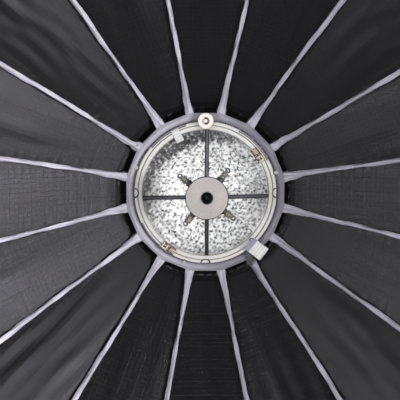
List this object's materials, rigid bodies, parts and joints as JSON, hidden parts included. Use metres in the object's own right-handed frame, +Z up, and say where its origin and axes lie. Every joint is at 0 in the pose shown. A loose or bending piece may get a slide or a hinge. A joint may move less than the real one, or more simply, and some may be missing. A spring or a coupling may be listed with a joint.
{
  "type": "octabox",
  "caption": "Round multi-rib folding light-shaping box: black cloth bowl on sleeved curved ribs hinged to a speed ring, with a rotating light adapter, bright bowl and deflector hub.",
  "frame": {"origin": "centre of the light spigot's rear face, on the optical axis", "axes": "+Y along the optical axis to the rear, where the light sits, so the mouth opens to -Y; +Z up, towards the lock knob; +X to the right seen from the mouth"},
  "size_m": [0.8848, 0.4534, 0.8848],
  "materials": {
    "rib": "sleeved rod, satin",
    "canopy": "satin lining",
    "cast": "cast, satin",
    "binding": "coated cloth",
    "skirt": "ripstop",
    "steel": "satin",
    "retainer": "matt powder coat",
    "ivory": "semi-gloss",
    "webbing": "woven webbing",
    "enamel": "semi-gloss enamel",
    "bowl": "dimpled, bright",
    "clip": "plated spring steel",
    "spoke": "black oxide",
    "hub": "bead blasted",
    "disc": "satin, warm",
    "socket": "matt",
    "pin": "knurled, oiled black"
  },
  "bodies": {
    "adapter": {"adapter_ring": "enamel", "reflector_bowl": "bowl", "bowl_clips": "clip", "deflector_spokes": "spoke", "hub_body": "hub", "deflector_disc": "disc", "socket_insert": "socket", "pull_pin_bushes": "steel", "strap_loop": "webbing"},
    "frame": {"speed_ring": "cast", "throat_binding": "binding", "throat_skirt": "skirt", "rib_pivot_pins": "steel", "rear_retainer": "retainer", "retainer_screws": "steel", "ring_screws": "steel", "strap_tab": "webbing", "lock_spring": "steel"},
    "knob": {"lock_knob": "ivory"},
    "pin_1": {"pull_pin_1": "pin"},
    "pin_2": {"pull_pin_2": "pin"},
    "pin_3": {"pull_pin_3": "pin"},
    "pin_4": {"pull_pin_4": "pin"},
    "arm_01": {"rib_01": "rib"},
    "arm_02": {"rib_02": "rib"},
    "arm_03": {"rib_03": "rib"},
    "arm_04": {"rib_04": "rib"},
    "arm_05": {"rib_05": "rib"},
    "arm_06": {"rib_06": "rib"},
    "arm_07": {"rib_07": "rib"},
    "arm_08": {"rib_08": "rib"},
    "arm_09": {"rib_09": "rib"},
    "arm_10": {"rib_10": "rib"},
    "arm_11": {"rib_11": "rib"},
    "arm_12": {"rib_12": "rib"},
    "arm_13": {"rib_13": "rib"},
    "arm_14": {"rib_14": "rib"},
    "arm_15": {"rib_15": "rib"},
    "arm_16": {"rib_16": "rib"},
    "panel_01": {"gore_01": "canopy"},
    "panel_02": {"gore_02": "canopy"},
    "panel_03": {"gore_03": "canopy"},
    "panel_04": {"gore_04": "canopy"},
    "panel_05": {"gore_05": "canopy"},
    "panel_06": {"gore_06": "canopy"},
    "panel_07": {"gore_07": "canopy"},
    "panel_08": {"gore_08": "canopy"},
    "panel_09": {"gore_09": "canopy"},
    "panel_10": {"gore_10": "canopy"},
    "panel_11": {"gore_11": "canopy"},
    "panel_12": {"gore_12": "canopy"},
    "panel_13": {"gore_13": "canopy"},
    "panel_14": {"gore_14": "canopy"},
    "panel_15": {"gore_15": "canopy"},
    "panel_16": {"gore_16": "canopy"}
  },
  "joints": [
    {"name": "ring_turn", "type": "hinge", "parent": "adapter", "child": "frame", "pos_m": [0, 0, 0], "axis": [0, 1, 0], "continuous": true},
    {"name": "canopy_fold", "type": "hinge", "parent": "frame", "child": "arm_01", "pos_m": [0.08631, -0.0315, 0.01717], "axis": [0.1951, 0, -0.9808], "range_deg": [0, 40]},
    {"name": "fold_rib_02", "type": "hinge", "parent": "frame", "child": "arm_02", "pos_m": [0.07317, -0.0315, 0.04889], "axis": [0.5556, 0, -0.8315], "range_deg": [0, 40]},
    {"name": "fold_rib_03", "type": "hinge", "parent": "frame", "child": "arm_03", "pos_m": [0.04889, -0.0315, 0.07317], "axis": [0.8315, 0, -0.5556], "range_deg": [0, 40]},
    {"name": "fold_rib_04", "type": "hinge", "parent": "frame", "child": "arm_04", "pos_m": [0.01717, -0.0315, 0.08631], "axis": [0.9808, 0, -0.1951], "range_deg": [0, 40]},
    {"name": "fold_rib_05", "type": "hinge", "parent": "frame", "child": "arm_05", "pos_m": [-0.01717, -0.0315, 0.08631], "axis": [0.9808, 0, 0.1951], "range_deg": [0, 40]},
    {"name": "fold_rib_06", "type": "hinge", "parent": "frame", "child": "arm_06", "pos_m": [-0.04889, -0.0315, 0.07317], "axis": [0.8315, 0, 0.5556], "range_deg": [0, 40]},
    {"name": "fold_rib_07", "type": "hinge", "parent": "frame", "child": "arm_07", "pos_m": [-0.07317, -0.0315, 0.04889], "axis": [0.5556, 0, 0.8315], "range_deg": [0, 40]},
    {"name": "fold_rib_08", "type": "hinge", "parent": "frame", "child": "arm_08", "pos_m": [-0.08631, -0.0315, 0.01717], "axis": [0.1951, 0, 0.9808], "range_deg": [0, 40]},
    {"name": "fold_rib_09", "type": "hinge", "parent": "frame", "child": "arm_09", "pos_m": [-0.08631, -0.0315, -0.01717], "axis": [-0.1951, 0, 0.9808], "range_deg": [0, 40]},
    {"name": "fold_rib_10", "type": "hinge", "parent": "frame", "child": "arm_10", "pos_m": [-0.07317, -0.0315, -0.04889], "axis": [-0.5556, 0, 0.8315], "range_deg": [0, 40]},
    {"name": "fold_rib_11", "type": "hinge", "parent": "frame", "child": "arm_11", "pos_m": [-0.04889, -0.0315, -0.07317], "axis": [-0.8315, 0, 0.5556], "range_deg": [0, 40]},
    {"name": "fold_rib_12", "type": "hinge", "parent": "frame", "child": "arm_12", "pos_m": [-0.01717, -0.0315, -0.08631], "axis": [-0.9808, 0, 0.1951], "range_deg": [0, 40]},
    {"name": "fold_rib_13", "type": "hinge", "parent": "frame", "child": "arm_13", "pos_m": [0.01717, -0.0315, -0.08631], "axis": [-0.9808, 0, -0.1951], "range_deg": [0, 40]},
    {"name": "fold_rib_14", "type": "hinge", "parent": "frame", "child": "arm_14", "pos_m": [0.04889, -0.0315, -0.07317], "axis": [-0.8315, 0, -0.5556], "range_deg": [0, 40]},
    {"name": "fold_rib_15", "type": "hinge", "parent": "frame", "child": "arm_15", "pos_m": [0.07317, -0.0315, -0.04889], "axis": [-0.5556, 0, -0.8315], "range_deg": [0, 40]},
    {"name": "fold_rib_16", "type": "hinge", "parent": "frame", "child": "arm_16", "pos_m": [0.08631, -0.0315, -0.01717], "axis": [-0.1951, 0, -0.9808], "range_deg": [0, 40]},
    {"name": "fold_gore_01", "type": "hinge", "parent": "frame", "child": "panel_01", "pos_m": [0.07974, -0.0315, 0.03303], "axis": [0.3827, 0, -0.9239], "range_deg": [0, 40], "deforming": ["gore_01"]},
    {"name": "fold_gore_02", "type": "hinge", "parent": "frame", "child": "panel_02", "pos_m": [0.06103, -0.0315, 0.06103], "axis": [0.7071, 0, -0.7071], "range_deg": [0, 40], "deforming": ["gore_02"]},
    {"name": "fold_gore_03", "type": "hinge", "parent": "frame", "child": "panel_03", "pos_m": [0.03303, -0.0315, 0.07974], "axis": [0.9239, 0, -0.3827], "range_deg": [0, 40], "deforming": ["gore_03"]},
    {"name": "fold_gore_04", "type": "hinge", "parent": "frame", "child": "panel_04", "pos_m": [0, -0.0315, 0.08631], "axis": [1, 0, 0], "range_deg": [0, 40], "deforming": ["gore_04"]},
    {"name": "fold_gore_05", "type": "hinge", "parent": "frame", "child": "panel_05", "pos_m": [-0.03303, -0.0315, 0.07974], "axis": [0.9239, 0, 0.3827], "range_deg": [0, 40], "deforming": ["gore_05"]},
    {"name": "fold_gore_06", "type": "hinge", "parent": "frame", "child": "panel_06", "pos_m": [-0.06103, -0.0315, 0.06103], "axis": [0.7071, 0, 0.7071], "range_deg": [0, 40], "deforming": ["gore_06"]},
    {"name": "fold_gore_07", "type": "hinge", "parent": "frame", "child": "panel_07", "pos_m": [-0.07974, -0.0315, 0.03303], "axis": [0.3827, 0, 0.9239], "range_deg": [0, 40], "deforming": ["gore_07"]},
    {"name": "fold_gore_08", "type": "hinge", "parent": "frame", "child": "panel_08", "pos_m": [-0.08631, -0.0315, 0], "axis": [0, 0, 1], "range_deg": [0, 40], "deforming": ["gore_08"]},
    {"name": "fold_gore_09", "type": "hinge", "parent": "frame", "child": "panel_09", "pos_m": [-0.07974, -0.0315, -0.03303], "axis": [-0.3827, 0, 0.9239], "range_deg": [0, 40], "deforming": ["gore_09"]},
    {"name": "fold_gore_10", "type": "hinge", "parent": "frame", "child": "panel_10", "pos_m": [-0.06103, -0.0315, -0.06103], "axis": [-0.7071, 0, 0.7071], "range_deg": [0, 40], "deforming": ["gore_10"]},
    {"name": "fold_gore_11", "type": "hinge", "parent": "frame", "child": "panel_11", "pos_m": [-0.03303, -0.0315, -0.07974], "axis": [-0.9239, 0, 0.3827], "range_deg": [0, 40], "deforming": ["gore_11"]},
    {"name": "fold_gore_12", "type": "hinge", "parent": "frame", "child": "panel_12", "pos_m": [0, -0.0315, -0.08631], "axis": [-1, 0, 0], "range_deg": [0, 40], "deforming": ["gore_12"]},
    {"name": "fold_gore_13", "type": "hinge", "parent": "frame", "child": "panel_13", "pos_m": [0.03303, -0.0315, -0.07974], "axis": [-0.9239, 0, -0.3827], "range_deg": [0, 40], "deforming": ["gore_13"]},
    {"name": "fold_gore_14", "type": "hinge", "parent": "frame", "child": "panel_14", "pos_m": [0.06103, -0.0315, -0.06103], "axis": [-0.7071, 0, -0.7071], "range_deg": [0, 40], "deforming": ["gore_14"]},
    {"name": "fold_gore_15", "type": "hinge", "parent": "frame", "child": "panel_15", "pos_m": [0.07974, -0.0315, -0.03303], "axis": [-0.3827, 0, -0.9239], "range_deg": [0, 40], "deforming": ["gore_15"]},
    {"name": "fold_gore_16", "type": "hinge", "parent": "frame", "child": "panel_16", "pos_m": [0.08631, -0.0315, 0], "axis": [0, 0, -1], "range_deg": [0, 40], "deforming": ["gore_16"]},
    {"name": "knob_turn", "type": "hinge", "parent": "frame", "child": "knob", "pos_m": [0, -0.036, 0.078], "axis": [0, -1, 0], "range_deg": [0, 180]},
    {"name": "pin_1_pull", "type": "slide", "parent": "adapter", "child": "pin_1", "axis": [0.6225, 0, 0.7826], "range_m": [0, 0.003], "stiffness_N_per_m": 400, "springref_m": -0.0005},
    {"name": "pin_2_pull", "type": "slide", "parent": "adapter", "child": "pin_2", "axis": [-0.7826, 0, 0.6225], "range_m": [0, 0.003], "stiffness_N_per_m": 400, "springref_m": -0.0005},
    {"name": "pin_3_pull", "type": "slide", "parent": "adapter", "child": "pin_3", "axis": [-0.6225, 0, -0.7826], "range_m": [0, 0.003], "stiffness_N_per_m": 400, "springref_m": -0.0005},
    {"name": "pin_4_pull", "type": "slide", "parent": "adapter", "child": "pin_4", "axis": [0.7826, 0, -0.6225], "range_m": [0, 0.003], "stiffness_N_per_m": 400, "springref_m": -0.0005}
  ],
  "couplings": [
    {"joint": "fold_rib_02", "follows": "canopy_fold", "ratio": 1},
    {"joint": "fold_rib_03", "follows": "canopy_fold", "ratio": 1},
    {"joint": "fold_rib_04", "follows": "canopy_fold", "ratio": 1},
    {"joint": "fold_rib_05", "follows": "canopy_fold", "ratio": 1},
    {"joint": "fold_rib_06", "follows": "canopy_fold", "ratio": 1},
    {"joint": "fold_rib_07", "follows": "canopy_fold", "ratio": 1},
    {"joint": "fold_rib_08", "follows": "canopy_fold", "ratio": 1},
    {"joint": "fold_rib_09", "follows": "canopy_fold", "ratio": 1},
    {"joint": "fold_rib_10", "follows": "canopy_fold", "ratio": 1},
    {"joint": "fold_rib_11", "follows": "canopy_fold", "ratio": 1},
    {"joint": "fold_rib_12", "follows": "canopy_fold", "ratio": 1},
    {"joint": "fold_rib_13", "follows": "canopy_fold", "ratio": 1},
    {"joint": "fold_rib_14", "follows": "canopy_fold", "ratio": 1},
    {"joint": "fold_rib_15", "follows": "canopy_fold", "ratio": 1},
    {"joint": "fold_rib_16", "follows": "canopy_fold", "ratio": 1},
    {"joint": "fold_gore_01", "follows": "canopy_fold", "ratio": 1},
    {"joint": "fold_gore_02", "follows": "canopy_fold", "ratio": 1},
    {"joint": "fold_gore_03", "follows": "canopy_fold", "ratio": 1},
    {"joint": "fold_gore_04", "follows": "canopy_fold", "ratio": 1},
    {"joint": "fold_gore_05", "follows": "canopy_fold", "ratio": 1},
    {"joint": "fold_gore_06", "follows": "canopy_fold", "ratio": 1},
    {"joint": "fold_gore_07", "follows": "canopy_fold", "ratio": 1},
    {"joint": "fold_gore_08", "follows": "canopy_fold", "ratio": 1},
    {"joint": "fold_gore_09", "follows": "canopy_fold", "ratio": 1},
    {"joint": "fold_gore_10", "follows": "canopy_fold", "ratio": 1},
    {"joint": "fold_gore_11", "follows": "canopy_fold", "ratio": 1},
    {"joint": "fold_gore_12", "follows": "canopy_fold", "ratio": 1},
    {"joint": "fold_gore_13", "follows": "canopy_fold", "ratio": 1},
    {"joint": "fold_gore_14", "follows": "canopy_fold", "ratio": 1},
    {"joint": "fold_gore_15", "follows": "canopy_fold", "ratio": 1},
    {"joint": "fold_gore_16", "follows": "canopy_fold", "ratio": 1}
  ]
}
